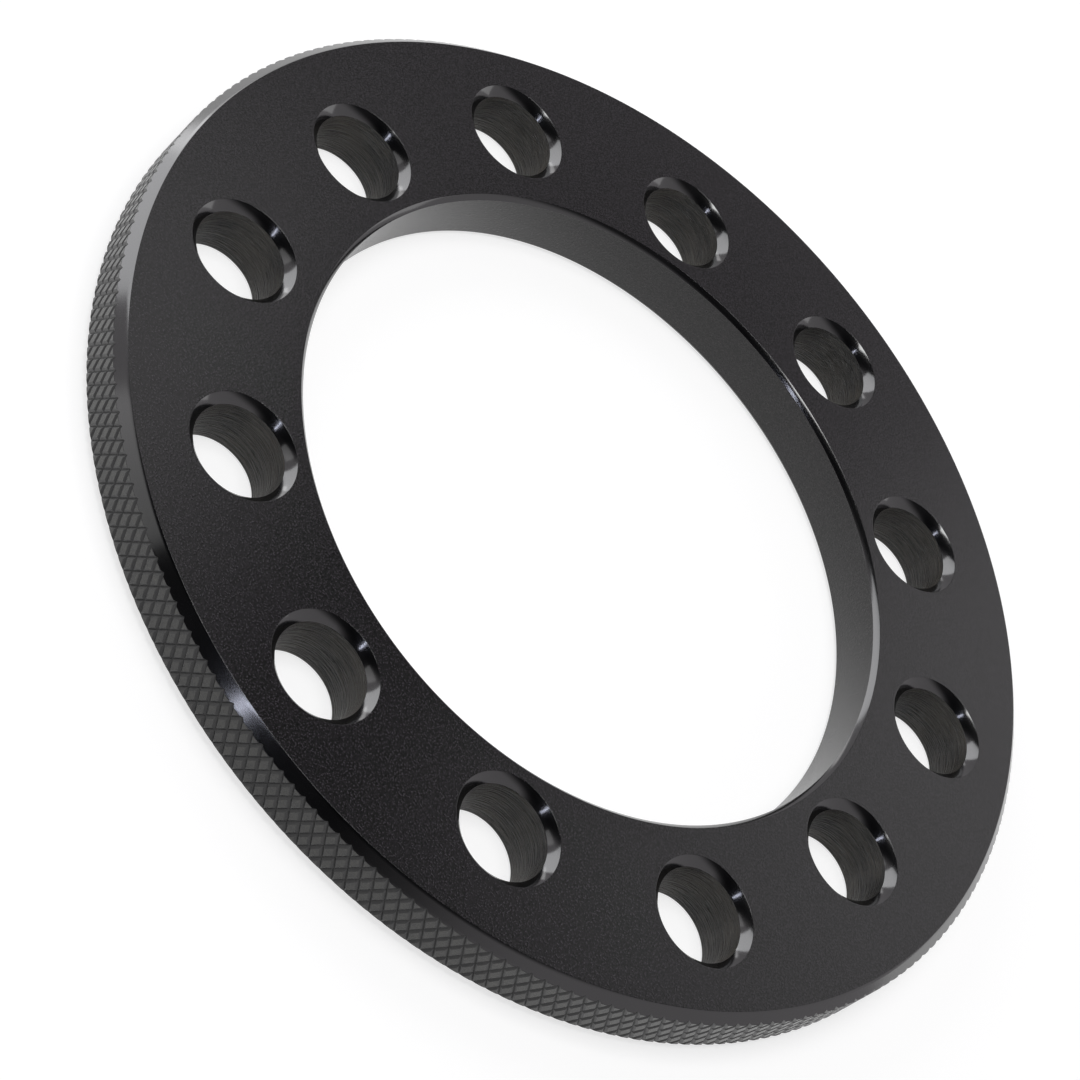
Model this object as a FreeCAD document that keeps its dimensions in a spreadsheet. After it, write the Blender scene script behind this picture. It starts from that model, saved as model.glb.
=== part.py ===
import FreeCAD, Part
import math
import os

import Sketcher

os.makedirs("parts", exist_ok=True)

# Wheel spacer: a flat aluminium ring that is clamped between a hub and a wheel.
# Units are millimetres. The ring lies flat with its axis on Z, its back face at
# zero and its front face up. The origin is the centre of the bore at the back face.

doc = FreeCAD.newDocument("wheel_spacer")

# Driving dimensions. A web is the wall left between a circle of holes and the bore
# or the rim, and the step is the difference between the two bolt circles.
sheet = doc.addObject("Spreadsheet::Sheet", "Sizes")
driving_dimensions = (
    ("inner_bolt_circle", "135"),
    ("bolt_circle_step", "4.7"),
    ("holes_on_circle", "6"),
    ("stud_hole_diameter", "15.5"),
    ("stud_hole_chamfer", "1.4"),
    ("stud_hole_back_break", "0.3"),
    ("bore_web", "4.2"),
    ("bore_chamfer", "0.8"),
    ("rim_web", "9.7"),
    ("rim_chamfer", "1.6"),
    ("thickness", "11.1"),
    ("knurl_pitch", "2.34"),
    ("knurl_lean", "29"),
    ("knurl_depth", "0.3"),
)
for row, (alias, value) in enumerate(driving_dimensions, start=1):
    sheet.set("A%d" % row, alias)
    sheet.set("B%d" % row, value)
    sheet.setAlias("B%d" % row, alias)
doc.recompute()

# Sizes that follow: the bore lies one web inside the inner holes, and the rim lies
# one web outside the outer holes. That makes a bore of 111.1 and a rim of 174.6.
inner_circle = "Sizes.inner_bolt_circle"
outer_circle = "(Sizes.inner_bolt_circle + Sizes.bolt_circle_step)"
bore_radius = "((%s - Sizes.stud_hole_diameter) / 2 - Sizes.bore_web)" % inner_circle
rim_radius = "((%s + Sizes.stud_hole_diameter) / 2 + Sizes.rim_web)" % outer_circle


def origin_feature(body, role):
    """The body's own origin plane or axis that has this role."""
    for feature in body.Origin.OriginFeatures:
        if feature.Role == role:
            return feature
    raise RuntimeError("no origin feature called " + role)


def hold_corner(sketch, edge, kind, name, expression):
    """Bind one coordinate of the start of an edge to the sheet."""
    distance = sketch.evalExpression(expression)
    if distance == 0:
        sketch.addConstraint(Sketcher.Constraint("PointOnObject", edge, 1, -1))
        return
    number = sketch.addConstraint(Sketcher.Constraint(kind, -1, 1, edge, 1, distance))
    label = "%s_%d" % (name, edge)
    sketch.renameConstraint(number, label)
    sketch.setExpression("Constraints." + label, expression)


def section_sketch(body, name, corners):
    """A closed profile on the XZ plane with straight edges from corner to corner.
    Each corner has two expressions: its distance from the ring's axis and its height."""
    sketch = body.newObject("Sketcher::SketchObject", name)
    sketch.AttachmentSupport = [(origin_feature(body, "XZ_Plane"), "")]
    sketch.MapMode = "FlatFace"
    places = []
    for across, up in corners:
        places.append(FreeCAD.Vector(sketch.evalExpression(across), sketch.evalExpression(up), 0))
    for edge, start in enumerate(places):
        end = places[(edge + 1) % len(places)]
        sketch.addGeometry(Part.LineSegment(start, end), False)
    for edge in range(len(places)):
        sketch.addConstraint(Sketcher.Constraint("Coincident", edge, 2, (edge + 1) % len(places), 1))
    for edge, (across, up) in enumerate(corners):
        hold_corner(sketch, edge, "DistanceX", "across", across)
        hold_corner(sketch, edge, "DistanceY", "up", up)
    return sketch


# The plate is turned flat and bored, and both ends of the bore are chamfered. It is
# left one rim chamfer too large all round, and the rim's own form then cuts it to size.
plate = doc.addObject("PartDesign::Body", "drilled_plate")
plate_section = section_sketch(
    plate,
    "plate_section",
    (
        (bore_radius + " + Sizes.bore_chamfer", "0"),
        (rim_radius + " + Sizes.rim_chamfer", "0"),
        (rim_radius + " + Sizes.rim_chamfer", "Sizes.thickness"),
        (bore_radius + " + Sizes.bore_chamfer", "Sizes.thickness"),
        (bore_radius, "Sizes.thickness - Sizes.bore_chamfer"),
        (bore_radius, "Sizes.bore_chamfer"),
    ),
)
bored_plate = plate.newObject("PartDesign::Revolution", "bored_plate")
bored_plate.Profile = plate_section
bored_plate.ReferenceAxis = (plate_section, ["V_Axis"])
bored_plate.Angle = 360
doc.recompute()


def stud_holes(name, bolt_circle, turn):
    """A circle of through holes, each drilled and then chamfered at the front face.
    The back edge is only broken. The first hole stands at this turn from the X axis."""
    axis = bolt_circle + " / 2"
    wall = axis + " + Sizes.stud_hole_diameter / 2"
    section = section_sketch(
        plate,
        name + "_section",
        (
            (axis, "0"),
            (wall + " + Sizes.stud_hole_back_break", "0"),
            (wall, "Sizes.stud_hole_back_break"),
            (wall, "Sizes.thickness - Sizes.stud_hole_chamfer"),
            (wall + " + Sizes.stud_hole_chamfer", "Sizes.thickness"),
            (axis, "Sizes.thickness"),
        ),
    )
    upright = FreeCAD.Vector(0, 1, 0)
    section.AttachmentOffset = FreeCAD.Placement(FreeCAD.Vector(), FreeCAD.Rotation(upright, 1))
    section.setExpression("AttachmentOffset.Rotation.Angle", turn)
    doc.recompute()
    volume_before = plate.Shape.Volume
    hole = plate.newObject("PartDesign::Groove", name + "_first")
    hole.Profile = section
    hole.ReferenceAxis = (section, ["Edge6"])
    hole.Angle = 360
    doc.recompute()
    if hole.Shape.Volume >= volume_before:
        raise RuntimeError(name + ": the first hole cuts nothing")
    pattern = plate.newObject("PartDesign::PolarPattern", name)
    pattern.Originals = [hole]
    pattern.Axis = (origin_feature(plate, "Z_Axis"), [""])
    pattern.Angle = 360
    pattern.setExpression("Occurrences", "Sizes.holes_on_circle")
    plate.Tip = pattern
    doc.recompute()


# The stud holes stand on two bolt circles. Those of the larger circle are midway
# between those of the smaller one.
stud_holes("inner_stud_holes", inner_circle, "0 deg")
stud_holes("outer_stud_holes", outer_circle, "180 deg / Sizes.holes_on_circle")


def knurled_rim_shape():
    """A solid disc with the rim's own form, made of flat facets.

    Shallow V grooves lean to the left and to the right of the ring's axis. They cross
    in rows, and the metal between them stands up as pyramids, whose tips reach the rim
    radius. The first and last rows of crossings lie on the chamfers, where the grooves
    run out, so each pyramid there is cut off at the chamfer. Past both faces of the
    plate the disc goes on as a plain plug."""
    rim = float(plate.evalExpression(rim_radius))
    chamfer = sheet.rim_chamfer
    depth = sheet.knurl_depth
    grooved_height = sheet.thickness - 2 * chamfer + 2 * depth
    grooves = round(2 * math.pi * rim / sheet.knurl_pitch)
    wanted_row = sheet.knurl_pitch / 2 / math.tan(math.radians(sheet.knurl_lean))
    rows = max(1, round(grooved_height / wanted_row))
    row_height = grooved_height / rows
    tip_cut = depth / (row_height + depth)
    corners = []
    numbers = {}
    facets = []

    def corner(kind, row, half_pitch, radius, height):
        """The number of a corner, which is made when it is first asked for."""
        key = (kind, row, half_pitch % (2 * grooves))
        if key not in numbers:
            angle = math.pi * key[2] / grooves
            numbers[key] = len(corners)
            corners.append(FreeCAD.Vector(radius * math.cos(angle), radius * math.sin(angle), height))
        return numbers[key]

    def crossing(row, half_pitch):
        return corner("crossing", row, half_pitch, rim - depth, chamfer - depth + row * row_height)

    def pyramid(row, middle):
        tip = corner("tip", row, middle, rim, chamfer - depth + row * row_height)
        around = (
            crossing(row, middle + 1),
            crossing(row + 1, middle),
            crossing(row, middle - 1),
            crossing(row - 1, middle),
        )
        for side in range(4):
            facets.append((tip, around[side], around[(side + 1) % 4]))

    def cut_pyramid(row, middle, face_height, outwards):
        """Half a pyramid, its share of the chamfer and the plug beyond the face."""
        left = crossing(row, middle - 1)
        right = crossing(row, middle + 1)
        foot = crossing(row - outwards, middle)
        tip_height = chamfer - depth + row * row_height - outwards * row_height * tip_cut
        tip = corner("cut tip", row, middle, rim - depth * tip_cut, tip_height)
        plug_height = face_height + outwards * chamfer
        face_left = corner("face", row, middle - 1, rim - chamfer, face_height)
        face_right = corner("face", row, middle + 1, rim - chamfer, face_height)
        plug_left = corner("plug", row, middle - 1, rim - chamfer, plug_height)
        plug_right = corner("plug", row, middle + 1, rim - chamfer, plug_height)
        centre = corner("centre", row, 0, 0, plug_height)
        sides = (
            (tip, foot, right),
            (tip, left, foot),
            (tip, face_left, left),
            (tip, face_right, face_left),
            (tip, right, face_right),
            (face_left, face_right, plug_right),
            (face_left, plug_right, plug_left),
            (plug_left, plug_right, centre),
        )
        for first, second, third in sides:
            facets.append((first, second, third) if outwards > 0 else (first, third, second))

    for row in range(rows + 1):
        for step in range(grooves):
            middle = 2 * step + row % 2
            if row == 0:
                cut_pyramid(row, middle, 0, -1)
            elif row == rows:
                cut_pyramid(row, middle, sheet.thickness, 1)
            else:
                pyramid(row, middle)
    shell = Part.Shape()
    shell.makeShapeFromMesh((corners, facets), 0.001)
    return Part.Solid(shell)


# The finished ring is what the drilled plate and the rim's form have in common.
knurled_rim = doc.addObject("Part::Feature", "knurled_rim")
knurled_rim.Shape = knurled_rim_shape()
ring = doc.addObject("Part::Common", "spacer_ring")
ring.Label = "spacer_ring"
ring.Base = plate
ring.Tool = knurled_rim
doc.recompute()

# Nothing is written unless every object is sound.
for item in doc.Objects:
    if "Invalid" in item.State or "Error" in item.State:
        raise RuntimeError("%s is not sound: %s" % (item.Name, item.State))
sub_parts = [ring]
for sub_part in sub_parts:
    shape = sub_part.Shape
    if shape.isNull() or not shape.isValid() or len(shape.Solids) != 1:
        raise RuntimeError(sub_part.Label + " is not one valid solid")
    shape.exportStep("parts/%s.step" % sub_part.Label)
    print(sub_part.Label, "volume", round(shape.Volume, 1), "faces", len(shape.Faces))
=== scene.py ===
import math

import bmesh
import bpy
from mathutils import Matrix, Vector


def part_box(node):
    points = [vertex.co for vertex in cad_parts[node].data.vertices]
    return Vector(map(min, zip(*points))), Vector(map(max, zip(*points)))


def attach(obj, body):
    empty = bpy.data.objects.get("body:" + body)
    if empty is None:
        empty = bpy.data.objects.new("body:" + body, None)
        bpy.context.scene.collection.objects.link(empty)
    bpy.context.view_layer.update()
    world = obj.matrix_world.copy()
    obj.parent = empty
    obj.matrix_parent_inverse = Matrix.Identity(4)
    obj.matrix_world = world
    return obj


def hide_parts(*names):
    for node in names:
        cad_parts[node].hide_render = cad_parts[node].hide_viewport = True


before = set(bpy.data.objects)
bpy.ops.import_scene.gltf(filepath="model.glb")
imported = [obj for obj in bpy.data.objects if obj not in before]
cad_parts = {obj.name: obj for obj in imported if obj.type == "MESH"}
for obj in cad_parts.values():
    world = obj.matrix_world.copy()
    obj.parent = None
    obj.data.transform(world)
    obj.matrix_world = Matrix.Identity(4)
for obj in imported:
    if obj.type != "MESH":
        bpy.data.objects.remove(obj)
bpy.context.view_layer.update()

# The wheel spacer: one flat ring of aluminium, turned, bored, drilled and knurled, then
# anodised black. Nothing is fixed to it, so the surfaces made in this section join into
# one closed mesh, and each way of cutting leaves a finish of its own.
ring_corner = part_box("spacer_ring")[1]
rim_radius = ring_corner.x
thickness = ring_corner.z
ring = bmesh.new()

# The kinds of surface, in the order in which their finishes are added further down.
FACE_FINISH, CHAMFER_FINISH, BORE_FINISH, HOLE_FINISH, KNURL_FINISH, GROOVE_FINISH = range(6)


def join_to_ring(made):
    """Adds a finished surface to the ring's mesh and clears it away."""
    carrier = bpy.data.meshes.new("carrier")
    made.to_mesh(carrier)
    made.free()
    ring.from_mesh(carrier)
    bpy.data.meshes.remove(carrier)


# Turning. Every corner that the tool leaves is worn round a little by deburring. What
# stands nearly upright is a wall, what lies nearly flat is a face, and what is between
# them is a chamfer.
worn_corner = 0.000015
wall_slope = 0.2
face_slope = 0.95


def turned(section, steps, wall_finish, centre=(0.0, 0.0)):
    """Turns a section, given as (distance from the axis, height), round an upright axis.
    The corners between its two ends are rounded off."""
    axis_place = Vector((centre[0], centre[1], 0))
    turning = bmesh.new()
    corners = [turning.verts.new(axis_place + Vector((out, 0, up))) for out, up in section]
    for corner, next_corner in zip(corners, corners[1:]):
        turning.edges.new((corner, next_corner))
    bmesh.ops.bevel(
        turning,
        geom=corners[1:-1],
        offset=worn_corner,
        offset_type="OFFSET",
        segments=2,
        profile=0.5,
        affect="VERTICES",
        material=-1,
    )
    bmesh.ops.spin(
        turning,
        geom=turning.verts[:] + turning.edges[:],
        cent=axis_place,
        axis=(0, 0, 1),
        angle=math.tau,
        steps=steps,
        use_merge=True,
    )
    turning.normal_update()
    for face in turning.faces:
        upright = abs(face.normal.z)
        if upright < wall_slope:
            face.material_index = wall_finish
        elif upright < face_slope:
            face.material_index = CHAMFER_FINISH
    join_to_ring(turning)


# The bore. It is turned straight through and chamfered a little at both ends, and slips
# over the hub. A narrow flat land at each end joins it to the faces.
bore_radius = 0.05555
bore_chamfer = 0.0008
face_land = 0.0001
bore_mouth = bore_radius + bore_chamfer
turned(
    (
        (bore_mouth + face_land, thickness),
        (bore_mouth, thickness),
        (bore_radius, thickness - bore_chamfer),
        (bore_radius, bore_chamfer),
        (bore_mouth, 0),
        (bore_mouth + face_land, 0),
    ),
    steps=288,
    wall_finish=BORE_FINISH,
)

# The stud holes. Six are drilled on a 135 mm circle and six between them on a 139.7 mm
# one, with a wide chamfer in front and the edge just broken at the back.
inner_bolt_circle = 0.135
outer_bolt_circle = 0.1397
holes_on_circle = 6
stud_hole_radius = 0.00775
stud_hole_chamfer = 0.0014
stud_hole_back_break = 0.0003
hole_mouth = stud_hole_radius + stud_hole_chamfer
hole_back = stud_hole_radius + stud_hole_back_break
hole_spacing = math.tau / holes_on_circle
for bolt_circle, first_hole in ((inner_bolt_circle, 0.0), (outer_bolt_circle, hole_spacing / 2)):
    for hole in range(holes_on_circle):
        hole_turn = first_hole + hole * hole_spacing
        turned(
            (
                (hole_mouth + face_land, thickness),
                (hole_mouth, thickness),
                (stud_hole_radius, thickness - stud_hole_chamfer),
                (stud_hole_radius, stud_hole_back_break),
                (hole_back, 0),
                (hole_back + face_land, 0),
            ),
            steps=96,
            wall_finish=HOLE_FINISH,
            centre=(
                bolt_circle / 2 * math.cos(hole_turn),
                bolt_circle / 2 * math.sin(hole_turn),
            ),
        )

# The knurled rim. Two crossing sets of V grooves, one of each hand, leave flat-topped
# diamonds between them and run out on the chamfers. One pitch is scored on a flat
# strip, rolled up and repeated.
grooves = 234
grooves_to_each_side = 3
rows_of_crossings = 5
groove_depth = 0.0003
rim_chamfer = 0.0016
chamfer_join = 0.0004
pitch = math.tau * rim_radius / grooves
first_row = rim_chamfer - groove_depth
row_step = (thickness - 2 * first_row) / (rows_of_crossings - 1)
slope = pitch / 2 / row_step
lean = math.atan(slope)

# A groove's section from its middle outwards, as (distance to the side, depth). It is a
# V whose upper edges are worn down a little.
groove_section = ((0.0, groove_depth), (0.00032, 0.00004), (0.00042, 0.0))

strip = bmesh.new()
strip_corners = [
    strip.verts.new(place)
    for place in (
        (0, 0, chamfer_join),
        (pitch, 0, chamfer_join),
        (pitch, 0, thickness - chamfer_join),
        (0, 0, thickness - chamfer_join),
    )
]
strip.faces.new(strip_corners)
cut_tolerance = 1e-8


def score(start, end, low=0.0, high=thickness):
    """Cuts the strip along the line through two (along, up) points, between two heights."""
    along = end[0] - start[0]
    up = end[1] - start[1]
    faces = [face for face in strip.faces if low < face.calc_center_median().z < high]
    edges = dict.fromkeys(edge for face in faces for edge in face.edges)
    verts = dict.fromkeys(vert for face in faces for vert in face.verts)
    bmesh.ops.bisect_plane(
        strip,
        geom=[*faces, *edges, *verts],
        dist=cut_tolerance,
        plane_co=(start[0], 0, start[1]),
        plane_no=(up, 0, -along),
    )


def groove_line(foot, hand, height, offset):
    """The point at a height on a line beside a groove, which crosses the first row at its
    foot and leans to the side of its hand."""
    return foot + hand * slope * (height - first_row) + offset / math.cos(lean), height


# Level cuts: the rows of crossings, the chamfers' edges and where each part of a groove
# runs out. One upright cut goes through the crossings.
for row in range(rows_of_crossings):
    row_height = first_row + row * row_step
    score((0, row_height), (pitch, row_height))
for groove_offset, depth in groove_section:
    for height in (rim_chamfer - depth, thickness - rim_chamfer + depth):
        score((0, height), (pitch, height))
score((pitch / 2, 0), (pitch / 2, thickness))

# Leaning cuts: the middle, bend and edge of each groove that crosses the strip, and its
# run-out on both chamfers.
for hand in (1, -1):
    for groove in range(-grooves_to_each_side, grooves_to_each_side + 1):
        foot = (groove + 0.5) * pitch
        for side in (1, -1):
            for offset, depth in groove_section:
                low = rim_chamfer - depth
                high = thickness - low
                score(
                    groove_line(foot, hand, low, side * offset),
                    groove_line(foot, hand, high, side * offset),
                    low,
                    high,
                )
            for deeper, shallower in zip(groove_section, groove_section[1:]):
                below = (rim_chamfer - deeper[1], rim_chamfer - shallower[1])
                above = (thickness - below[0], thickness - below[1])
                for deep_height, shallow_height in (below, above):
                    score(
                        groove_line(foot, hand, deep_height, side * deeper[0]),
                        groove_line(foot, hand, shallow_height, side * shallower[0]),
                        min(deep_height, shallow_height),
                        max(deep_height, shallow_height),
                    )


def groove_depth_at(along, up):
    """How deep the grooves of both hands lie below the rim at a point of the strip."""
    deepest = 0.0
    for hand in (1, -1):
        from_line = (along - hand * slope * (up - first_row) - pitch / 2) % pitch
        away = min(from_line, pitch - from_line) * math.cos(lean)
        for (near, near_depth), (far, far_depth) in zip(groove_section, groove_section[1:]):
            if near <= away <= far:
                share = (away - near) / (far - near)
                deepest = max(deepest, near_depth + share * (far_depth - near_depth))
    return deepest


def chamfer_depth_at(up):
    """How deep the chamfers lie below the rim at a height. It is nothing between them."""
    return max(0.0, rim_chamfer - up, up - (thickness - rim_chamfer))


for vert in strip.verts:
    along, up = vert.co.x, vert.co.z
    radius = rim_radius - max(groove_depth_at(along, up), chamfer_depth_at(up))
    vert.co = Matrix.Rotation(along / rim_radius, 3, "Z") @ Vector((radius, 0, up))

same_depth = 1e-7
for face in strip.faces:
    depths = [rim_radius - vert.co.xy.length for vert in face.verts]
    chamfer_depths = [chamfer_depth_at(vert.co.z) for vert in face.verts]
    if max(depths) < same_depth:
        face.material_index = KNURL_FINISH
    elif all(abs(deep - cut) < same_depth for deep, cut in zip(depths, chamfer_depths)):
        face.material_index = CHAMFER_FINISH
    else:
        face.material_index = GROOVE_FINISH

bmesh.ops.spin(
    strip,
    geom=strip.verts[:] + strip.edges[:] + strip.faces[:],
    cent=(0, 0, 0),
    axis=(0, 0, 1),
    angle=math.tau * (grooves - 1) / grooves,
    steps=grooves - 1,
    use_duplicate=True,
)
join_to_ring(strip)

# The outer corners, between the rim's chamfers and the faces.
rim_mouth = rim_radius - rim_chamfer
for up, inward in ((thickness, -1), (0, 1)):
    turned(
        (
            (rim_mouth - face_land, up),
            (rim_mouth, up),
            (rim_mouth + chamfer_join, up + inward * chamfer_join),
        ),
        steps=2 * grooves,
        wall_finish=KNURL_FINISH,
    )

# The faces, turned flat, fill what is left between those edges.
weld_distance = 2e-6
level_distance = 1e-5
bmesh.ops.remove_doubles(ring, verts=ring.verts[:], dist=weld_distance)
for up in (thickness, 0):
    open_edges = [
        edge
        for edge in ring.edges
        if edge.is_boundary and all(abs(vert.co.z - up) < level_distance for vert in edge.verts)
    ]
    bmesh.ops.triangle_fill(
        ring,
        use_beauty=True,
        edges=open_edges,
        normal=(0, 0, 1 if up else -1),
    )
bmesh.ops.recalc_face_normals(ring, faces=ring.faces[:])

sharp_edge = math.radians(20)
ring_mesh = bpy.data.meshes.new("knurled_spacer_ring")
ring.to_mesh(ring_mesh)
ring.free()
ring_mesh.shade_smooth()
ring_mesh.set_sharp_from_angle(angle=sharp_edge)
knurled_spacer_ring = bpy.data.objects.new("knurled_spacer_ring", ring_mesh)
bpy.context.scene.collection.objects.link(knurled_spacer_ring)

# The finish. Black dye is sealed in the oxide skin, so the metal shines as a dark glaze
# does and not as bare metal. The chamfers are the glossiest, and the drilled walls and
# the grooves the dullest.


def anodised(name, deep, pale, roughness, glaze, patches_per_metre, dye_range=(0.3, 0.75)):
    """A black anodised finish on one kind of surface. The dye takes unevenly, from a deep
    to a paler black, and where it is paler the skin is a little rougher."""
    finish = bpy.data.materials.new(name)
    finish.use_nodes = True
    tree = finish.node_tree
    shader = tree.nodes["Principled BSDF"]
    shader.inputs["IOR"].default_value = glaze
    place = tree.nodes.new("ShaderNodeTexCoord")
    place.name = "place"
    patches = tree.nodes.new("ShaderNodeTexNoise")
    patches.name = "patches"
    patches.inputs["Scale"].default_value = patches_per_metre
    patches.inputs["Detail"].default_value = 4
    dye = tree.nodes.new("ShaderNodeValToRGB")
    dye.name = "dye"
    dye.color_ramp.elements[0].position = dye_range[0]
    dye.color_ramp.elements[0].color = (*deep, 1)
    dye.color_ramp.elements[1].position = dye_range[1]
    dye.color_ramp.elements[1].color = (*pale, 1)
    polish = tree.nodes.new("ShaderNodeMapRange")
    polish.inputs["From Min"].default_value = 0.3
    polish.inputs["From Max"].default_value = 0.7
    polish.inputs["To Min"].default_value = roughness * 0.94
    polish.inputs["To Max"].default_value = roughness * 1.06
    tree.links.new(place.outputs["Object"], patches.inputs["Vector"])
    tree.links.new(patches.outputs["Fac"], dye.inputs["Fac"])
    tree.links.new(patches.outputs["Fac"], polish.inputs["Value"])
    tree.links.new(dye.outputs["Color"], shader.inputs["Base Color"])
    tree.links.new(polish.outputs["Result"], shader.inputs["Roughness"])
    ring_mesh.materials.append(finish)
    return finish


def tool_marks(finish, grains_per_metre, height, detail, stretch=(1, 1, 1)):
    """Presses a fine grain into a finish. The stretch squeezes it along x, y and height."""
    tree = finish.node_tree
    squeeze = tree.nodes.new("ShaderNodeMapping")
    squeeze.inputs["Scale"].default_value = stretch
    grain = tree.nodes.new("ShaderNodeTexNoise")
    grain.inputs["Scale"].default_value = grains_per_metre
    grain.inputs["Detail"].default_value = detail
    press = tree.nodes.new("ShaderNodeBump")
    press.inputs["Distance"].default_value = height
    tree.links.new(tree.nodes["place"].outputs["Object"], squeeze.inputs["Vector"])
    tree.links.new(squeeze.outputs["Vector"], grain.inputs["Vector"])
    tree.links.new(grain.outputs["Fac"], press.inputs["Height"])
    tree.links.new(press.outputs["Normal"], tree.nodes["Principled BSDF"].inputs["Normal"])
    return grain


face_finish = anodised(
    "anodised_face",
    deep=(0.0, 0.0, 0.0),
    pale=(0.025, 0.0215, 0.026),
    roughness=0.18,
    glaze=1.62,
    patches_per_metre=3500,
    dye_range=(0.45, 0.62),
)
tool_marks(face_finish, grains_per_metre=3500, height=0.00002, detail=3)

anodised(
    "anodised_chamfer",
    deep=(0.002, 0.002, 0.0025),
    pale=(0.005, 0.005, 0.0055),
    roughness=0.13,
    glaze=2.1,
    patches_per_metre=90,
)

bore_finish = anodised(
    "anodised_bore",
    deep=(0.0, 0.0, 0.0),
    pale=(0.028, 0.0255, 0.0265),
    roughness=0.26,
    glaze=1.5,
    patches_per_metre=2800,
    dye_range=(0.4, 0.62),
)
tool_marks(bore_finish, grains_per_metre=2800, height=0.00006, detail=3)

hole_finish = anodised(
    "anodised_hole",
    deep=(0.003, 0.0027, 0.0025),
    pale=(0.1, 0.089, 0.072),
    roughness=0.33,
    glaze=1.45,
    patches_per_metre=100,
    dye_range=(0.4, 0.64),
)
drill_lines = tool_marks(
    hole_finish, grains_per_metre=220, height=0.001, detail=5, stretch=(1, 1, 18)
)

# In the drilled holes the dye follows the drill's lines as much as its own patches.
hole_tree = hole_finish.node_tree
half_patches = hole_tree.nodes.new("ShaderNodeMath")
half_patches.operation = "MULTIPLY"
half_patches.inputs[1].default_value = 0.5
lines_and_patches = hole_tree.nodes.new("ShaderNodeMath")
lines_and_patches.operation = "MULTIPLY_ADD"
lines_and_patches.inputs[1].default_value = 0.5
hole_tree.links.new(hole_tree.nodes["patches"].outputs["Fac"], half_patches.inputs[0])
hole_tree.links.new(drill_lines.outputs["Fac"], lines_and_patches.inputs[0])
hole_tree.links.new(half_patches.outputs[0], lines_and_patches.inputs[2])
hole_tree.links.new(lines_and_patches.outputs[0], hole_tree.nodes["dye"].inputs["Fac"])

knurl_finish = anodised(
    "anodised_knurl",
    deep=(0.013, 0.0125, 0.013),
    pale=(0.06, 0.0585, 0.05),
    roughness=0.26,
    glaze=1.54,
    patches_per_metre=1500,
)
tool_marks(knurl_finish, grains_per_metre=5200, height=0.00003, detail=1)

groove_finish = anodised(
    "anodised_groove",
    deep=(0.01, 0.0098, 0.011),
    pale=(0.035, 0.034, 0.034),
    roughness=0.34,
    glaze=1.5,
    patches_per_metre=600,
)
tool_marks(groove_finish, grains_per_metre=5200, height=0.00004, detail=1)

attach(knurled_spacer_ring, "root")
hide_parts("spacer_ring")

# The studio floor, a wide sheet of white board on which the ring lies. Its own light is
# seen by the camera and in reflections only, so the ring's shadow stays on it.
floor_half_width = 3
floor_mesh = bpy.data.meshes.new("studio_floor")
board = bmesh.new()
bmesh.ops.create_grid(board, x_segments=1, y_segments=1, size=floor_half_width)
board.to_mesh(floor_mesh)
board.free()
studio_floor = bpy.data.objects.new("studio_floor", floor_mesh)
bpy.context.scene.collection.objects.link(studio_floor)
white_board = bpy.data.materials.new("white_board")
white_board.use_nodes = True
board_shader = white_board.node_tree.nodes["Principled BSDF"]
board_shader.inputs["Base Color"].default_value = (0.4, 0.4, 0.4, 1)
board_shader.inputs["Roughness"].default_value = 0.9
board_shader.inputs["Specular IOR Level"].default_value = 0.0
board_shader.inputs["Emission Color"].default_value = (1, 1, 1, 1)
light_path = white_board.node_tree.nodes.new("ShaderNodeLightPath")
seen_or_mirrored = white_board.node_tree.nodes.new("ShaderNodeMath")
seen_or_mirrored.operation = "MAXIMUM"
seen_through = white_board.node_tree.nodes.new("ShaderNodeMath")
seen_through.operation = "MAXIMUM"
lift = white_board.node_tree.nodes.new("ShaderNodeMath")
lift.operation = "MULTIPLY"
lift.inputs[1].default_value = 0.7
board_links = white_board.node_tree.links
board_links.new(light_path.outputs["Is Camera Ray"], seen_or_mirrored.inputs[0])
board_links.new(light_path.outputs["Is Glossy Ray"], seen_or_mirrored.inputs[1])
board_links.new(seen_or_mirrored.outputs[0], seen_through.inputs[0])
board_links.new(light_path.outputs["Is Transmission Ray"], seen_through.inputs[1])
board_links.new(seen_through.outputs[0], lift.inputs[0])
board_links.new(lift.outputs[0], board_shader.inputs["Emission Strength"])
floor_mesh.materials.append(white_board)

# The lamps are soft boxes, each turned to face the ring. The overhead and side boxes
# light it, the ones behind are mirrored in its front face, the low ones lighten the
# left of its rim, and the near strip makes the small glints.


def soft_box(name, place, width, height, radiance, colour=(1, 1, 1)):
    """A rectangular soft box whose face shines at a given radiance towards the ring."""
    lamp = bpy.data.lights.new(name, "AREA")
    lamp.shape = "RECTANGLE"
    lamp.size = width
    lamp.size_y = height
    lamp.energy = radiance * math.pi * width * height
    lamp.color = colour
    box = bpy.data.objects.new(name, lamp)
    box.location = place
    box.rotation_euler = Vector(place).to_track_quat("Z", "Y").to_euler()
    bpy.context.scene.collection.objects.link(box)


soft_box("overhead_box", (-0.1, -0.12, 1.46), 0.75, 1.05, 5.2)
soft_box("side_box", (-0.62, 0.115, 0.275), 0.43, 0.55, 1.75, (0.97, 0.98, 1.0))
soft_box("low_side_box", (-0.62, 0.37, 0.07), 0.3, 0.12, 1.2)
soft_box("back_box", (0.55, 1.15, 0.5), 0.9, 0.5, 0.6)
soft_box("right_box", (0.222, 0.892, 0.771), 0.46, 0.42, 0.48)
soft_box("left_box", (-0.338, 0.693, 0.919), 0.33, 0.33, 0.75)
soft_box("low_box", (-0.494, -0.372, 0.329), 0.3, 0.18, 0.5)
soft_box("near_strip", (-0.09, -0.75, 0.78), 0.028, 0.35, 11.0, (0.8, 0.83, 1.0))

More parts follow.
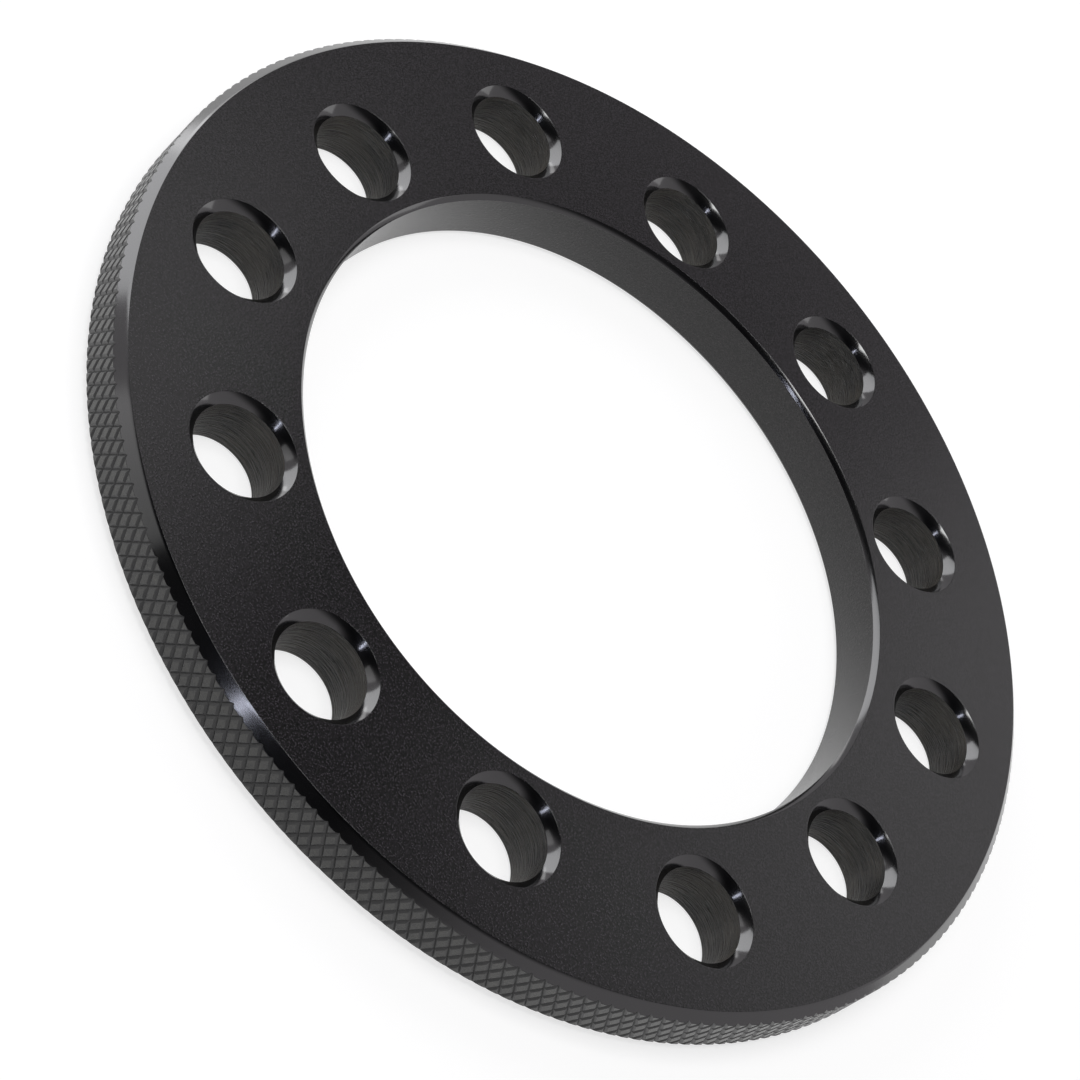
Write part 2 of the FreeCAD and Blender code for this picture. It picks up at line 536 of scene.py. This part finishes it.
# The rest of the studio is a dim room. Its walls are pale low down and nearly black
# above, and its near end is darkest.
studio = bpy.data.worlds.new("studio")
bpy.context.scene.world = studio
studio.use_nodes = True
room = studio.node_tree
direction = room.nodes.new("ShaderNodeTexCoord")
height_of_direction = room.nodes.new("ShaderNodeSeparateXYZ")
walls = room.nodes.new("ShaderNodeMapRange")
walls.interpolation_type = "SMOOTHSTEP"
walls.inputs["From Min"].default_value = 0.5
walls.inputs["From Max"].default_value = 0.72
walls.inputs["To Min"].default_value = 0.45
walls.inputs["To Max"].default_value = 0.03
towards_dark_end = room.nodes.new("ShaderNodeVectorMath")
towards_dark_end.operation = "DOT_PRODUCT"
towards_dark_end.inputs[1].default_value = (-0.15, -0.7, 0.7)
dark_end = room.nodes.new("ShaderNodeMapRange")
dark_end.interpolation_type = "SMOOTHSTEP"
dark_end.inputs["From Min"].default_value = 0.6
dark_end.inputs["From Max"].default_value = 0.95
dark_end.inputs["To Min"].default_value = 1.0
dark_end.inputs["To Max"].default_value = 0.05
room_light = room.nodes.new("ShaderNodeMath")
room_light.operation = "MULTIPLY"
room.links.new(direction.outputs["Generated"], height_of_direction.inputs[0])
room.links.new(height_of_direction.outputs["Z"], walls.inputs["Value"])
room.links.new(direction.outputs["Generated"], towards_dark_end.inputs[0])
room.links.new(towards_dark_end.outputs["Value"], dark_end.inputs["Value"])
room.links.new(walls.outputs["Result"], room_light.inputs[0])
room.links.new(dark_end.outputs["Result"], room_light.inputs[1])
room.links.new(room_light.outputs[0], room.nodes["Background"].inputs["Strength"])
room.nodes["Background"].inputs["Color"].default_value = (1, 0.96, 1, 1)

# The camera. It looks down at the ring from the front and is rolled, so that the ring
# stands on a slant in the picture.
camera_distance = 0.50892
camera_height_angle = math.radians(42.5667)
camera_side_angle = math.radians(5.0149)
camera_roll = math.radians(51.6741)
aim = Vector((-0.0003, -0.01198, 0.00555))
lens = bpy.data.cameras.new("camera")
lens.sensor_width = 36
lens.lens = 108.533
camera = bpy.data.objects.new("camera", lens)
camera.matrix_world = (
    Matrix.Translation(aim)
    @ Matrix.Rotation(camera_side_angle, 4, "Z")
    @ Matrix.Rotation(math.pi / 2 - camera_height_angle, 4, "X")
    @ Matrix.Rotation(camera_roll, 4, "Z")
    @ Matrix.Translation((0, 0, camera_distance))
)
bpy.context.scene.collection.objects.link(camera)
bpy.context.scene.camera = camera
bpy.context.scene.view_settings.view_transform = "Standard"
